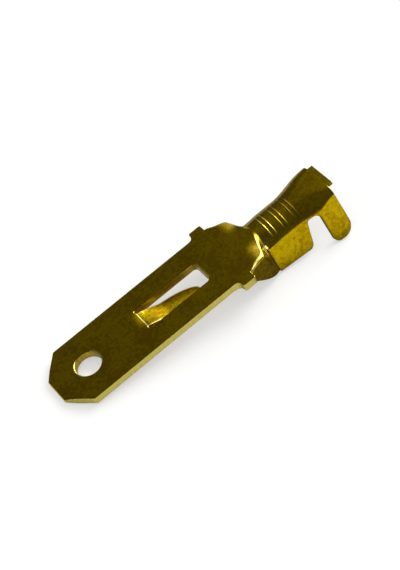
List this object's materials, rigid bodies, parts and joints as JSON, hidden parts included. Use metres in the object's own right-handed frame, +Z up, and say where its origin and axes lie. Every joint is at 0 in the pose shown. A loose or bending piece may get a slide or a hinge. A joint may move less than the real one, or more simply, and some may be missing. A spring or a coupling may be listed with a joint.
{
  "type": "male spade terminal",
  "caption": "Brass male spade terminal with a flat blade, a locking lance and an open crimp barrel for a wire and its insulation.",
  "frame": {"origin": "middle of the footprint, on the surface that the terminal rests on", "axes": "+X from the blade's tip towards the crimp barrel, +Z up, +Y across the blade"},
  "size_m": [0.0274, 0.0076, 0.0044],
  "materials": {
    "brass": "bright rolled strip"
  },
  "bodies": {
    "root": {"terminal": "brass"}
  },
  "joints": []
}
